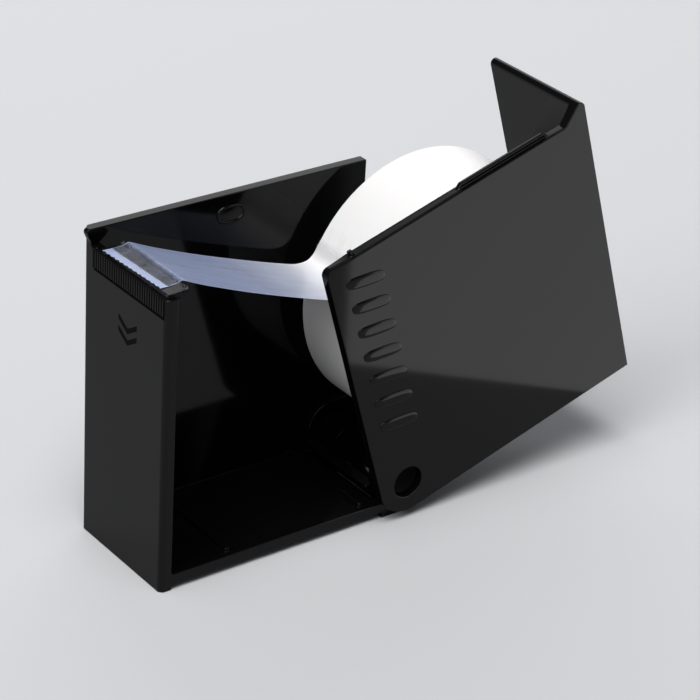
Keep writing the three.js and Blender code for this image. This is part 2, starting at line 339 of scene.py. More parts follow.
@dataclass(frozen=True)
class ClearPlastic:
    """Clear moulded plastic, faintly grey, with flow lines."""

    name: str = "clear_plastic"

    def build(self) -> bpy.types.Material:
        """Builds the node tree.

        Returns:
            The material.
        """
        tree = ShaderTree(self.name)
        flow = tree.noise(420.0, 2.0, (1.0, 0.2, 1.0))
        normal = tree.bump(flow, 0.3, 0.00008)
        return tree.surface(
            {
                "Base Color": tree.mix(flow, (0.035, 0.035, 0.045), (0.09, 0.09, 0.11)),
                "Roughness": 0.05 + flow * 0.08,
                "Transmission Weight": 0.93,
                "IOR": 1.18,
                "Specular IOR Level": 0.2,
                "Normal": normal,
            }
        )


@dataclass(frozen=True)
class TapeFilm:
    """Milky adhesive film; it looks clearest where it is stuck down on the cutter.

    The UV map runs from the cut end (0) to the roll (1), and across the width. Each veil is a
    place along it and how dense the film looks there.
    """

    name: str = "tape_film"
    veils: tuple[tuple[float, float], ...] = (
        (0.0, 0.54),
        (0.027, 0.46),
        (0.035, 0.02),
        (0.076, 0.03),
        (0.090, 0.14),
        (0.098, 0.42),
        (0.50, 0.47),
        (0.70, 0.72),
        (0.80, 0.96),
        (0.87, 0.96),
        (0.95, 0.0),
    )

    def build(self) -> bpy.types.Material:
        """Builds the node tree.

        Returns:
            The material.
        """
        tree = ShaderTree(self.name)
        run, across = tree.uv()
        streaks = tree.noise(700.0, 3.0, (0.12, 1.0, 0.12))
        cloud = tree.noise(160.0, 3.0)
        stops = [(place, (veil, veil, veil)) for place, veil in self.veils]
        ramp = tree.node(
            "ShaderNodeValToRGB", {"stops": stops}, {"Fac": run + (cloud - 0.5) * 0.014}
        )
        veil = Value(tree, ramp.outputs[0])
        alpha = (veil + (streaks - 0.5) * 0.16 + (cloud - 0.5) * 0.10).clamped()
        colour = tree.mix((run * 1.15).clamped() ** 3.0, (0.34, 0.41, 0.62), (0.70, 0.70, 0.71))
        edge = (across.above(0.985) + (1.0 - across).above(0.985)) * (1.0 - run.above(0.75))
        return tree.surface(
            {
                "Base Color": colour,
                "Roughness": 0.24 + streaks * 0.12,
                "Alpha": (alpha + edge * 0.2).clamped(),
                "Normal": tree.bump(streaks, 0.2, 0.00004),
                "IOR": 1.46,
            }
        )


@dataclass(frozen=True)
class WoundTape:
    """Many turns of white film: smooth outside, with fine rings of layers on both sides."""

    axis: Point
    name: str = "wound_tape"

    def build(self) -> bpy.types.Material:
        """Builds the node tree.

        Returns:
            The material.
        """
        tree = ShaderTree(self.name)
        x, _, z = tree.xyz()
        across, up = x - self.axis[0], z - self.axis[1]
        radius = (across * across + up * up) ** 0.5
        layers = tree.along(radius, 5200.0, 2.0)
        bands = tree.along(radius, 700.0, 3.0)
        wrap = tree.noise(900.0, 2.0, (0.02, 1.0, 0.02))
        cloud = tree.noise(45.0, 2.0)
        tone = (bands * 0.45 + layers * 0.25 + cloud * 0.3).clamped()
        colour = tree.mix(tone, (0.60, 0.60, 0.595), (0.68, 0.68, 0.68))
        return tree.surface(
            {
                "Base Color": colour,
                "Roughness": 0.30 + bands * 0.2,
                "Normal": tree.bump(layers * 0.6 + wrap * 0.4, 0.35, 0.00005),
                "IOR": 1.46,
                "Subsurface Weight": 0.12,
                "Subsurface Scale": 0.002,
            }
        )


@dataclass(frozen=True)
class Card:
    """Spirally wound grey-brown card."""

    name: str = "core_card"

    def build(self) -> bpy.types.Material:
        """Builds the node tree.

        Returns:
            The material.
        """
        tree = ShaderTree(self.name)
        fibre = tree.noise(1500.0, 4.0, (1.0, 0.25, 1.0))
        fleck = tree.noise(3800.0, 1.0).above(0.68)
        colour = tree.mix(fibre * 0.8 + fleck * 0.2, (0.24, 0.17, 0.10), (0.46, 0.35, 0.23))
        return tree.surface(
            {"Base Color": colour, "Roughness": 0.85 + fibre * 0.1, "Normal": tree.bump(fibre, 0.5, 0.00008)}
        )


@dataclass(frozen=True)
class Felt:
    """Pressed grey felt."""

    name: str = "drag_felt"

    def build(self) -> bpy.types.Material:
        """Builds the node tree.

        Returns:
            The material.
        """
        tree = ShaderTree(self.name)
        fuzz = tree.noise(3200.0, 4.0, rough=0.7)
        colour = tree.mix(fuzz, (0.08, 0.075, 0.07), (0.22, 0.21, 0.19))
        return tree.surface(
            {
                "Base Color": colour,
                "Roughness": 0.95,
                "Sheen Weight": 0.3,
                "Normal": tree.bump(fuzz, 0.8, 0.0001),
            }
        )


@dataclass(frozen=True)
class Steel:
    """Bright plated steel with turning or rolling marks."""

    name: str = "plated_steel"

    def build(self) -> bpy.types.Material:
        """Builds the node tree.

        Returns:
            The material.
        """
        tree = ShaderTree(self.name)
        marks = tree.noise(2200.0, 2.0, (1.0, 0.08, 1.0))
        patch = tree.noise(220.0, 3.0)
        colour = tree.mix(patch, (0.46, 0.47, 0.49), (0.60, 0.61, 0.62))
        return tree.surface(
            {
                "Base Color": colour,
                "Metallic": 1.0,
                "Roughness": 0.22 + marks * 0.18,
                "Normal": tree.bump(marks, 0.25, 0.00003),
            }
        )


@dataclass(frozen=True)
class PadRubber:
    """Matt black rubber with a cloth-pressed grain."""

    name: str = "pad_rubber"

    def build(self) -> bpy.types.Material:
        """Builds the node tree.

        Returns:
            The material.
        """
        tree = ShaderTree(self.name)
        x, y, _ = tree.xyz()
        pitch = 2.0 * math.pi / 0.0009
        weave = (x * pitch).wave() * (y * pitch).wave()
        grime = tree.noise(300.0, 3.0)
        colour = tree.mix(grime, (0.010, 0.010, 0.010), (0.028, 0.028, 0.027))
        return tree.surface(
            {
                "Base Color": colour,
                "Roughness": 0.78 + grime * 0.15,
                "Normal": tree.bump(weave, 0.5, 0.00008),
            }
        )


@dataclass(frozen=True)
class Tabletop:
    """Pale seamless paper, with painted light: its colour gets a little lighter towards the back, as if lit
    more there.
    """

    name: str = "pale_paper"
    back: tuple[float, float] = (0.616, 0.788)
    rise: float = 2.2
    middle: float = 0.32

    def build(self) -> bpy.types.Material:
        """Builds the node tree.

        Returns:
            The material.
        """
        tree = ShaderTree(self.name)
        tooth = tree.noise(900.0, 3.0)
        x, y, _ = tree.xyz()
        # painted light: a straight ramp in the paper's colour, lighter towards the back, standing in for the
        # light's falloff
        painted_light_falloff = (x * self.back[0] + y * self.back[1]) * self.rise + self.middle
        tone = (painted_light_falloff + (tooth - 0.5) * 0.08).clamped()
        colour = tree.mix(tone, (0.435, 0.442, 0.456), (0.545, 0.553, 0.568))
        return tree.surface(
            {
                "Base Color": colour,
                "Roughness": 0.8,
                "Specular IOR Level": 0.0,
                "Normal": tree.bump(tooth, 0.05, 0.00005),
            }
        )


@dataclass(frozen=True)
class Coat:
    """A material and the name of the slot that it is meant for; the slot name is not used."""

    material: bpy.types.Material
    slot: str


@dataclass
class Finishes:
    """Every coat, made once."""

    roll_axis: Point
    gloss: Coat = field(init=False)
    satin: Coat = field(init=False)
    matt: Coat = field(init=False)
    clear: Coat = field(init=False)
    film: Coat = field(init=False)
    wound: Coat = field(init=False)
    card: Coat = field(init=False)
    felt: Coat = field(init=False)
    steel: Coat = field(init=False)
    rubber: Coat = field(init=False)

    def __post_init__(self) -> None:
        """Builds them all."""
        self.gloss = Coat(GlossBlack().build(), "gloss_black")
        self.satin = Coat(SatinBlack().build(), "satin_black")
        self.clear = Coat(ClearPlastic().build(), "clear_plastic")
        self.film = Coat(TapeFilm().build(), "tape_film")
        self.wound = Coat(WoundTape(self.roll_axis).build(), "tape_roll")
        self.card = Coat(Card().build(), "card")
        self.felt = Coat(Felt().build(), "felt")
        self.matt = Coat(SatinBlack("matt_black", 0.6, 0.10).build(), "satin_black")
        self.steel = Coat(Steel().build(), "steel")
        self.rubber = Coat(PadRubber().build(), "pad_rubber")


# ---------------------------------------------------------------- shaping


def arc(centre: Point, radius: float, start: float, end: float, steps: int = 10) -> list[Point]:
    """Points along an arc.

    Args:
        centre: its centre.
        radius: its radius.
        start: the angle it starts at, in degrees, counted from the first axis.
        end: the angle it ends at.
        steps: how many chords it has.

    Returns:
        steps + 1 points.
    """
    angles = [math.radians(start + (end - start) * i / steps) for i in range(steps + 1)]
    return [(centre[0] + radius * math.cos(a), centre[1] + radius * math.sin(a)) for a in angles]


def circle(centre: Point, radius: float, steps: int) -> list[Point]:
    """The corners of a round outline."""
    return arc(centre, radius, 0, 360, steps)[:-1]


def rectangle(low: Point, high: Point, radii: tuple = (0, 0, 0, 0), steps: int = 6) -> list[Point]:
    """A rectangle with square or round corners.

    Args:
        low: its low corner.
        high: its high corner.
        radii: each corner's radius, counter-clockwise from the low corner.
        steps: how many chords a round corner has.

    Returns:
        Its points, counter-clockwise from the low corner.
    """
    corners = [(low[0], low[1]), (high[0], low[1]), (high[0], high[1]), (low[0], high[1])]
    signs = [(1, 1), (-1, 1), (-1, -1), (1, -1)]
    points: list[Point] = []
    for index, (corner, sign, radius) in enumerate(zip(corners, signs, radii)):
        if radius:
            centre = (corner[0] + sign[0] * radius, corner[1] + sign[1] * radius)
            start = 180.0 + 90.0 * index
            points += arc(centre, radius, start, start + 90.0, steps)
        else:
            points.append(corner)
    return points


def finished(made: bmesh.types.BMesh, name: str) -> bpy.types.Mesh:
    """Turns all faces outward and ends the editing.

    Args:
        made: the mesh being edited, which is used up.
        name: the plain mesh's name.

    Returns:
        The plain mesh.
    """
    bmesh.ops.recalc_face_normals(made, faces=made.faces)
    mesh = bpy.data.meshes.new(name)
    made.to_mesh(mesh)
    made.free()
    return mesh


def together(name: str, *meshes: bpy.types.Mesh) -> bpy.types.Mesh:
    """Puts several meshes in one.

    Args:
        name: the new mesh's name.
        meshes: the meshes, which stay as they are.

    Returns:
        One mesh that holds each body as it was.
    """
    made = bmesh.new()
    for mesh in meshes:
        made.from_mesh(mesh)
    joined = bpy.data.meshes.new(name)
    made.to_mesh(joined)
    made.free()
    return joined


def prism(outline: list[Point], low: float, high: float, plane: Plane = Plane.SIDE) -> bpy.types.Mesh:
    """Makes an outline solid along the axis that its plane leaves.

    Args:
        outline: its corners, in order.
        low: where it starts on the third axis.
        high: where it ends.
        plane: the plane the outline is in.

    Returns:
        A closed mesh.
    """
    made = bmesh.new()

    def place(point: Point, level: float) -> tuple[float, float, float]:
        """The 3-D point for an outline point at a level."""
        return (point[0], level, point[1]) if plane is Plane.SIDE else (point[0], point[1], level)

    rings = [[made.verts.new(place(p, level)) for p in outline] for level in (low, high)]
    made.faces.new(rings[0])
    made.faces.new(rings[1])
    for i in range(len(outline)):
        j = (i + 1) % len(outline)
        made.faces.new((rings[0][i], rings[0][j], rings[1][j], rings[1][i]))
    return finished(made, "prism")


def box(low: tuple, high: tuple) -> bpy.types.Mesh:
    """A block between two corners."""
    return prism(rectangle((low[0], low[1]), (high[0], high[1])), low[2], high[2], Plane.PLAN)


def lathe(profile: list[Point], centre: Point, segments: int = 96) -> bpy.types.Mesh:
    """Turns a profile about an axis along Y.

    Args:
        profile: radius and Y of each corner; it starts and ends on the axis, or closes on itself.
        centre: X and Z of the axis.
        segments: how many steps a turn has.

    Returns:
        A closed mesh.
    """
    made = bmesh.new()
    closed = profile[0] == profile[-1]
    points = profile[:-1] if closed else profile
    rings: list[list[bmesh.types.BMVert]] = []
    for radius, y in points:
        turn = [centre] if radius < ON_AXIS else circle(centre, radius, segments)
        rings.append([made.verts.new((x, y, z)) for x, z in turn])
    pairs = list(zip(rings, rings[1:])) + ([(rings[-1], rings[0])] if closed else [])
    for first, second in pairs:
        for i in range(segments):
            j = (i + 1) % segments
            if len(first) == 1:
                made.faces.new((first[0], second[i], second[j]))
            elif len(second) == 1:
                made.faces.new((first[i], first[j], second[0]))
            else:
                made.faces.new((first[i], first[j], second[j], second[i]))
    return finished(made, "turned")


def softened(profile: list[Point], radius: float, steps: int = 3) -> list[Point]:
    """Rounds a profile's corners, but not the two ends of an open one.

    Args:
        profile: its corners; a closed one ends where it starts.
        radius: about how far from each corner the rounding starts.
        steps: how many chords a round corner has.

    Returns:
        The rounded profile, closed if the given one is.
    """
    closed = profile[0] == profile[-1]
    points = profile[:-1] if closed else profile
    result: list[Point] = []
    for i, point in enumerate(points):
        if not closed and i in (0, len(points) - 1):
            result.append(point)
            continue
        here = Vector(point)
        before = Vector(points[i - 1]) - here
        after = Vector(points[(i + 1) % len(points)]) - here
        reach = min(radius, before.length * 0.4, after.length * 0.4)
        start = here + before.normalized() * reach
        end = here + after.normalized() * reach
        for k in range(steps + 1):
            t = k / steps
            result.append(tuple(start * (1 - t) ** 2 + here * (2 * t * (1 - t)) + end * t**2))
    return result + [result[0]] if closed else result


class Blank:
    """A solid being shaped, in millimetres."""

    def __init__(self, mesh: bpy.types.Mesh) -> None:
        """Holds the mesh in a scratch object."""
        self.object = bpy.data.objects.new("blank", mesh)
        bpy.context.scene.collection.objects.link(self.object)

    def _apply(self, settings: dict, kind: str) -> "Blank":
        """Adds one modifier and makes its result the mesh.

        Args:
            settings: the modifier's settings.
            kind: its type.

        Returns:
            This blank.
        """
        modifier = self.object.modifiers.new("work", kind)
        for key, value in settings.items():
            setattr(modifier, key, value)
        graph = bpy.context.evaluated_depsgraph_get()
        graph.update()
        old = self.object.data
        made = bpy.data.meshes.new_from_object(self.object.evaluated_get(graph), depsgraph=graph)
        self.object.modifiers.clear()
        self.object.data = made
        bpy.data.meshes.remove(old)
        return self

    def _combine(self, tool: "bpy.types.Mesh | Blank", operation: str) -> "Blank":
        """Joins or cuts with another solid.

        Args:
            tool: the other solid, which is used up.
            operation: what is done with it.

        Returns:
            This blank.
        """
        other = tool if isinstance(tool, Blank) else Blank(tool)
        self._apply({"operation": operation, "solver": "EXACT", "object": other.object}, "BOOLEAN")
        other.discard()
        return self

    def join(self, *tools: "bpy.types.Mesh | Blank") -> "Blank":
        """Adds other solids to this one.

        Args:
            tools: the other solids, which are used up.

        Returns:
            This blank.
        """
        for tool in tools:
            self._combine(tool, "UNION")
        return self

    def cut(self, *tools: "bpy.types.Mesh | Blank") -> "Blank":
        """Takes other solids from this one.

        Args:
            tools: the other solids, which are used up.

        Returns:
            This blank.
        """
        for tool in tools:
            self._combine(tool, "DIFFERENCE")
        return self

    def tidy(self) -> "Blank":
        """Merges doubles and the flat faces that the cuts left split.

        Returns:
            This blank.
        """
        made = bmesh.new()
        made.from_mesh(self.object.data)
        bmesh.ops.remove_doubles(made, verts=made.verts, dist=MERGE_DISTANCE)
        flat = math.radians(FLAT_ANGLE)
        bmesh.ops.dissolve_limit(made, angle_limit=flat, verts=made.verts, edges=made.edges)
        bmesh.ops.recalc_face_normals(made, faces=made.faces)
        made.to_mesh(self.object.data)
        made.free()
        return self

    def bevel(self, width: float, segments: int = 3, angle: float = 35.0) -> "Blank":
        """Rounds the sharp edges.

        Args:
            width: how far from the edge the rounding starts.
            segments: how many strips it has.
            angle: edges over this angle, in degrees, are rounded.

        Returns:
            This blank.
        """
        settings = {
            "width": width,
            "segments": segments,
            "limit_method": "ANGLE",
            "angle_limit": math.radians(angle),
            "use_clamp_overlap": False,
            "miter_outer": "MITER_ARC",
        }
        return self._apply(settings, "BEVEL")

    def discard(self) -> None:
        """Removes the scratch object and its mesh."""
        mesh = self.object.data
        bpy.data.objects.remove(self.object)
        bpy.data.meshes.remove(mesh)

    def take(self) -> bpy.types.Mesh:
        """Gives up the mesh and removes the scratch object.

        Returns:
            The mesh.
        """
        mesh = self.object.data
        bpy.data.objects.remove(self.object)
        return mesh


@dataclass(frozen=True)
class Layout:
    """Where a layout's millimetres lie in the frame, in metres."""

    matrix: Matrix

    def point(self, x: float, y: float, z: float) -> Vector:
        """A point of the layout, in the frame."""
        return self.matrix @ Vector((x, y, z))


@dataclass
class Studio:
    """What every sub-assembly shares: layouts, finishes and how a piece is finished."""

    base: Layout
    cover: Layout
    finishes: Finishes

    def piece(
        self,
        name: str,
        mesh: bpy.types.Mesh,
        body: Body,
        coat: Coat,
        *nodes: str,
        sharp: float = 38.0,
        rides: bool = True,
    ) -> bpy.types.Object:
        """Makes a finished piece of a mesh in millimetres.

        Args:
            name: the piece's name.
            mesh: its mesh, in the body's layout; the roll is laid out with the cover.
            body: the body it rides on.
            coat: its finish.
            nodes: the nodes it stands for.
            sharp: edges over this angle, in degrees, stay sharp.
            rides: whether it rides here; a piece that bends between bodies doesn't.

        Returns:
            The piece, at the origin, with its place in its mesh.
        """
        layout = self.base if body is Body.BASE else self.cover
        mesh.transform(layout.matrix)
        mesh.name = name
        mesh.materials.clear()
        mesh.materials.append(coat.material)
        mesh.shade_smooth()
        mesh.set_sharp_from_angle(angle=math.radians(sharp))
        made = bpy.data.objects.new(name, mesh)
        bpy.context.scene.collection.objects.link(made)
        weighted = made.modifiers.new("normals", "WEIGHTED_NORMAL")
        weighted.keep_sharp = True
        graph = bpy.context.evaluated_depsgraph_get()
        graph.update()
        final = bpy.data.meshes.new_from_object(made.evaluated_get(graph), depsgraph=graph)
        made.modifiers.clear()
        made.data = final
        bpy.data.meshes.remove(mesh)
        final.name = name
        if rides:
            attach(made, body.value)
        if nodes:
            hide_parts(*nodes)
        LOG.info("%s: %d faces", name, len(final.polygons))
        return made


# ---------------------------------------------------------------- repeated bars


@dataclass(frozen=True)
class BarRow:
    """A straight row of rounded bars, repeated by a node group. Sizes are in millimetres."""

    count: int
    first: tuple[float, float, float]
    step: tuple[float, float, float]
    size: tuple[float, float, float]
    slant: float = 0.0
    crease: float = 0.8
    level: int = 2

    def _tree(self) -> bpy.types.NodeTree:
        """Builds the node group, with a named input for each size.

        Returns:
            The node group.
        """
        tree = bpy.data.node_groups.new("bar_row", "GeometryNodeTree")
        face = tree.interface
        for label, kind in (
            ("Count", "NodeSocketInt"),
            ("First", "NodeSocketVector"),
            ("Step", "NodeSocketVector"),
            ("Size", "NodeSocketVector"),
            ("Slant", "NodeSocketFloat"),
            ("Crease", "NodeSocketFloat"),
            ("Level", "NodeSocketInt"),
            ("Material", "NodeSocketMaterial"),
        ):
            face.new_socket(label, in_out="INPUT", socket_type=kind)
        face.new_socket("Geometry", in_out="OUTPUT", socket_type="NodeSocketGeometry")

        def add(kind: str, inputs: dict, **settings: str) -> bpy.types.NodeOutputs:
            """Adds a node and links its inputs.

            Args:
                kind: the node's type.
                inputs: by socket name or number, the output to link.
                settings: its properties.

            Returns:
                The node's outputs.
            """
            made = tree.nodes.new(kind)
            for key, value in settings.items():
                setattr(made, key, value)
            for key, source in inputs.items():
                tree.links.new(source, made.inputs[key])
            return made.outputs

        given = add("NodeGroupInput", {})
        cube = add("GeometryNodeMeshCube", {"Size": given["Size"]})
        soft = add(
            "GeometryNodeSubdivisionSurface",
            {"Mesh": cube["Mesh"], "Level": given["Level"], "Edge Crease": given["Crease"]},
        )
        place = add("GeometryNodeInputPosition", {})
        split = add("ShaderNodeSeparateXYZ", {0: place[0]})
        lean = add("ShaderNodeMath", {0: split["Z"], 1: given["Slant"]}, operation="MULTIPLY")
        offset = add("ShaderNodeCombineXYZ", {"X": lean[0]})
        bar = add("GeometryNodeSetPosition", {"Geometry": soft["Mesh"], "Offset": offset[0]})
        line = add(
            "GeometryNodeMeshLine",
            {"Count": given["Count"], "Start Location": given["First"], "Offset": given["Step"]},
        )
        copies = add(
            "GeometryNodeInstanceOnPoints", {"Points": line["Mesh"], "Instance": bar["Geometry"]}
        )
        real = add("GeometryNodeRealizeInstances", {"Geometry": copies["Instances"]})
        coat = add(
            "GeometryNodeSetMaterial", {"Geometry": real["Geometry"], "Material": given["Material"]}
        )
        add("NodeGroupOutput", {"Geometry": coat["Geometry"]})
        return tree

    def mesh(self, material: bpy.types.Material) -> bpy.types.Mesh:
        """Runs the node group on a scratch object.

        Args:
            material: the bars' material.

        Returns:
            The plain mesh.
        """
        tree = self._tree()
        holder = bpy.data.objects.new("bars", bpy.data.meshes.new("bars"))
        modifier = holder.modifiers.new("bars", "NODES")
        modifier.node_group = tree
        values = {
            "Count": self.count,
            "First": self.first,
            "Step": self.step,
            "Size": self.size,
            "Slant": self.slant,
            "Crease": self.crease,
            "Level": self.level,
            "Material": material,
        }
        for item in tree.interface.items_tree:
            if item.item_type == "SOCKET" and item.in_out == "INPUT":
                modifier[item.identifier] = values[item.name]
        bpy.context.scene.collection.objects.link(holder)
        graph = bpy.context.evaluated_depsgraph_get()
        graph.update()
        made = bpy.data.meshes.new_from_object(holder.evaluated_get(graph), depsgraph=graph)
        scratch = holder.data
        bpy.data.objects.remove(holder)
        bpy.data.meshes.remove(scratch)
        return made


# ---------------------------------------------------------------- base


@dataclass
class Base:
    """The lower moulding and what is fixed to it. Sizes are in millimetres."""

    studio: Studio
    hinge: Point
    open_angle: float
    length: float = 66.0
    height: float = 68.3
    width: float = 29.13
    wall: float = 2.27
    front_wall: float = 2.7
    wall_top: float = 64.5
    floor_bottom: float = 1.2
    floor_top: float = 3.6
    corner_radius: float = 6.9
    run_gap: float = 0.35
    rib_places: tuple[float, float] = (16.8, 49.8)
    grip_low: tuple[float, float, float] = (0.0, 0.9, 60.3)
    grip_high: tuple[float, float, float] = (0.9, 26.1, 64.5)
    grip_pitch: float = 0.82
    grip_gap: float = 0.05
    strip_face: float = 0.30
    rib_centre: float = 0.38
    rib_section: Point = (0.66, 0.5)
    rib_foot: float = 0.12
    far_edge_radius: float = 0.8
    lug_radius: float = 6.3
    lug_thickness: float = 3.0
    lug_front: float = 54.6
    pin_bore: float = 2.25
    pocket_gap: float = 0.15
    ring_centre: Point = (32.6, 63.9)
    ring_half: Point = (3.1, 1.75)
    ring_thickness: float = 0.34
    ring_height: float = 0.28
    ring_squareness: float = 0.78
    arrow_centre: Point = (13.4, 52.6)
    arrow_half: Point = (3.2, 1.0)
    arrow_band: float = 1.15
    arrow_pitch: float = 2.5
    mark_proud: float = 0.03
    edge: float = 0.22

    def _far_wall(self) -> bpy.types.Mesh:
        """The tall wall, whose top front corner swells forward into a small rounded tip.

        Returns:
            A closed mesh.
        """
        top, tip = self.height, 0.88
        outline = [(0.0, 0.0), (self.length, 0.0), (self.length, top)]
        outline += arc((-tip + 0.79, top - 0.78), 0.78, 90, 200, 8)
        outline += [(-0.5, top - 1.9), (-0.12, top - 2.5), (0.0, top - 3.2)]
        return prism(outline, self.width - self.wall, self.width)

    def _front_wall(self) -> bpy.types.Mesh:
        """The front wall, with round corners in plan."""
        outline = rectangle((0, 0), (self.front_wall, self.width - 0.5), (1.2, 0, 0, 0), 8)
        return prism(outline, 0, self.wall_top, Plane.PLAN)

    def _floor(self) -> Blank:
        """The floor with its two low ribs, and the sill that runs back under the hinge.

        Returns:
            One solid.
        """
        far = self.width - self.wall + 0.5
        made = Blank(box((self.front_wall - 0.5, 0.0, self.floor_bottom), (57.0, far, self.floor_top)))
        made.join(box((46.0, 8.0, 0.0), (self.length - 0.8, far, self.floor_top - 0.02)))
        for x in self.rib_places:
            outline = [(x - 0.5, self.floor_top - 0.3), (x + 0.5, self.floor_top - 0.3)]
            outline += arc((x + 0.2, 4.1), 0.3, 0, 90, 4) + arc((x - 0.2, 4.1), 0.3, 90, 180, 4)
            made.join(prism(outline, 1.4, far))
        return made.cut(self._pocket(), self._hinge_sweep(), self._open_cover_space())

    def _pocket(self) -> bpy.types.Mesh:
        """The recess under the floor that holds the ballast and the pad.

        Returns:
            A closed mesh to cut with.
        """
        low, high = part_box("ballast_plate")
        start = self.studio.base.matrix.inverted() @ low
        end = self.studio.base.matrix.inverted() @ high
        gap = self.pocket_gap
        return box((start.x - gap, start.y - gap, -1.0), (end.x + gap, end.y + gap, end.z + 0.1))

    def _hinge_sweep(self) -> bpy.types.Mesh:
        """The room that the cover's round corner turns in."""
        radius = self.corner_radius + self.run_gap
        return prism(circle(self.hinge, radius, 96), -1.0, self.width - self.wall)

    def _open_cover_space(self) -> bpy.types.Mesh:
        """All that lies above the rear wall's underside when the cover is open.

        Returns:
            A closed mesh to cut with.
        """
        across = Vector((math.sin(self.open_angle), math.cos(self.open_angle)))
        outward = Vector((math.cos(self.open_angle), -math.sin(self.open_angle)))
        reach = 40.0
        foot = Vector(self.hinge) + outward * (self.corner_radius + self.run_gap)
        head = foot + across * reach
        corners = [foot, head, head - outward * reach, foot - outward * reach]
        return prism([tuple(c) for c in corners], -1.0, self.width - self.wall - 0.01)

    def _lug(self) -> Blank:
        """The near hinge lug, which stands behind the cover's round corner.

        Returns:
            One solid.
        """
        x = self.hinge[0]
        outline = [(self.lug_front, 0.0), (63.0, 0.0)]
        outline += arc(self.hinge, self.lug_radius, 0, 180, 32)
        outline += [(self.lug_front, self.floor_top)]
        made = Blank(prism(outline, 0.0, self.lug_thickness))
        made.join(box((52.5, 0.0, self.floor_bottom), (x, self.lug_thickness, self.floor_top)))
        return made.cut(prism(circle(self.hinge, self.pin_bore, 48), -1.0, self.lug_thickness + 1.0))

    def shell(self) -> bpy.types.Object:
        """Builds the base moulding: front wall, floor, far wall, sill and lug.

        Returns:
            The piece.
        """
        far_inner = self.width - self.wall
        made = Blank(self._front_wall())
        made.join(self._far_wall(), self._floor(), self._lug())
        made.cut(box((-1.0, *self.grip_low[1:]), (*self.grip_high[:2], 70.0)))
        bore = prism(circle(self.hinge, self.pin_bore, 48), far_inner - 1.0, far_inner + 1.6)
        curve = self.far_edge_radius
        round_off = [(-3.0, self.width - curve), (-3.0, self.width + 2.0), (curve, self.width + 2.0)]
        round_off += arc((curve, self.width - curve), curve, 90, 180, 8)
        made.cut(bore, prism(round_off, -1.0, self.height + 1.0, Plane.PLAN))
        mesh = made.tidy().bevel(self.edge, 3).take()
        gloss = self.studio.finishes.gloss
        return self.studio.piece("base_moulding", mesh, Body.BASE, gloss, "base_shell")

    def grip(self) -> bpy.types.Object:
        """Builds the ribbed finger grip at the top of the front wall.

        Returns:
            The piece.
        """
        gap = self.grip_gap
        y0, y1 = self.grip_low[1] + gap, self.grip_high[1] - gap
        z0, z1 = self.grip_low[2] + gap, self.grip_high[2] - gap
        strip = box((self.strip_face, y0, z0), (self.grip_high[0] - gap, y1, z1))
        count = int((y1 - y0) / self.grip_pitch)
        start = (y0 + y1 - (count - 1) * self.grip_pitch) / 2
        height = z1 - z0 - self.rib_foot
        ribs = BarRow(
            count=count,
            first=(self.rib_centre, start, z1 - height / 2),
            step=(0.0, self.grip_pitch, 0.0),
            size=(*self.rib_section, height),
            crease=0.62,
        )
        satin = self.studio.finishes.satin
        bars = ribs.mesh(satin.material)
        mesh = together("grip", Blank(strip).bevel(0.06, 2).take(), bars)
        return self.studio.piece("ribbed_grip", mesh, Body.BASE, satin, "finger_grip")

    def badge(self) -> bpy.types.Object:
        """Builds the plain raised oval ring on the far wall's inner face.

        Returns:
            The piece.
        """
        centre, half, level = self.ring_centre, self.ring_half, self.width - self.wall
        made = bmesh.new()
        rings = []
        steps, sides = 64, 10

        def rounded(value: float) -> float:
            """A sine or cosine, bent towards a squarer oval."""
            return math.copysign(abs(value) ** self.ring_squareness, value)

        for i in range(steps):
            a = 2 * math.pi * i / steps
            cx, cz = half[0] * rounded(math.cos(a)), half[1] * rounded(math.sin(a))
            out = Vector((cx / half[0] ** 2, cz / half[1] ** 2)).normalized()
            ring = []
            for k in range(sides):
                b = 2 * math.pi * k / sides
                reach = self.ring_thickness * math.cos(b)
                x = centre[0] + cx + out.x * reach
                z = centre[1] + cz + out.y * reach
                ring.append(made.verts.new((x, level - self.ring_height * math.sin(b), z)))
            rings.append(ring)
        for i in range(steps):
            for k in range(sides):
                a, b = rings[i], rings[(i + 1) % steps]
                made.faces.new((a[k], a[(k + 1) % sides], b[(k + 1) % sides], b[k]))
        mesh = finished(made, "badge")
        return self.studio.piece("oval_ring", mesh, Body.BASE, self.studio.finishes.gloss)

    def arrows(self) -> bpy.types.Object:
        """Builds the two plain arrowheads let into the front wall under the grip.

        Returns:
            The piece.
        """
        centre, (reach, rise) = self.arrow_centre, self.arrow_half
        heads = []
        for side in (0.5, -0.5):
            level = centre[1] + side * self.arrow_pitch
            upper = [(-reach, rise), (0.0, -rise), (reach, rise)]
            lower = [(a, b - self.arrow_band) for a, b in reversed(upper)]
            corners = [(centre[0] + a, level + b) for a, b in upper + lower]
            heads.append(prism(corners, -self.mark_proud, 0.4, Plane.PLAN))
        mesh = together("arrows", *heads)
        mesh.transform(Matrix(((0, 0, 1, 0), (1, 0, 0, 0), (0, 1, 0, 0), (0, 0, 0, 1))))
        return self.studio.piece("arrow_marks", mesh, Body.BASE, self.studio.finishes.matt)

    def pins(self) -> None:
        """Builds the two shouldered hinge pins; the near one has a dished head."""
        near = [(0, 0.9), (2.3, -0.1), (2.7, -0.7), (3.4, -0.9), (3.4, 0.05)]
        near += [(2.5, 0.06), (2.2, 0.4), (2.2, 2.9), (0, 2.9)]
        inner = self.width - self.wall
        far = [(0, 24.5), (3.4, 24.5), (3.4, inner - 0.06), (2.2, inner - 0.06)]
        far += [(2.2, inner + 1.5), (0, inner + 1.5)]
        for name, profile in (("hinge_pin_near", near), ("hinge_pin_far", far)):
            mesh = lathe(softened(profile, 0.18), self.hinge, 64)
            matt = self.studio.finishes.matt
            self.studio.piece(name + "_turned", mesh, Body.BASE, matt, name)

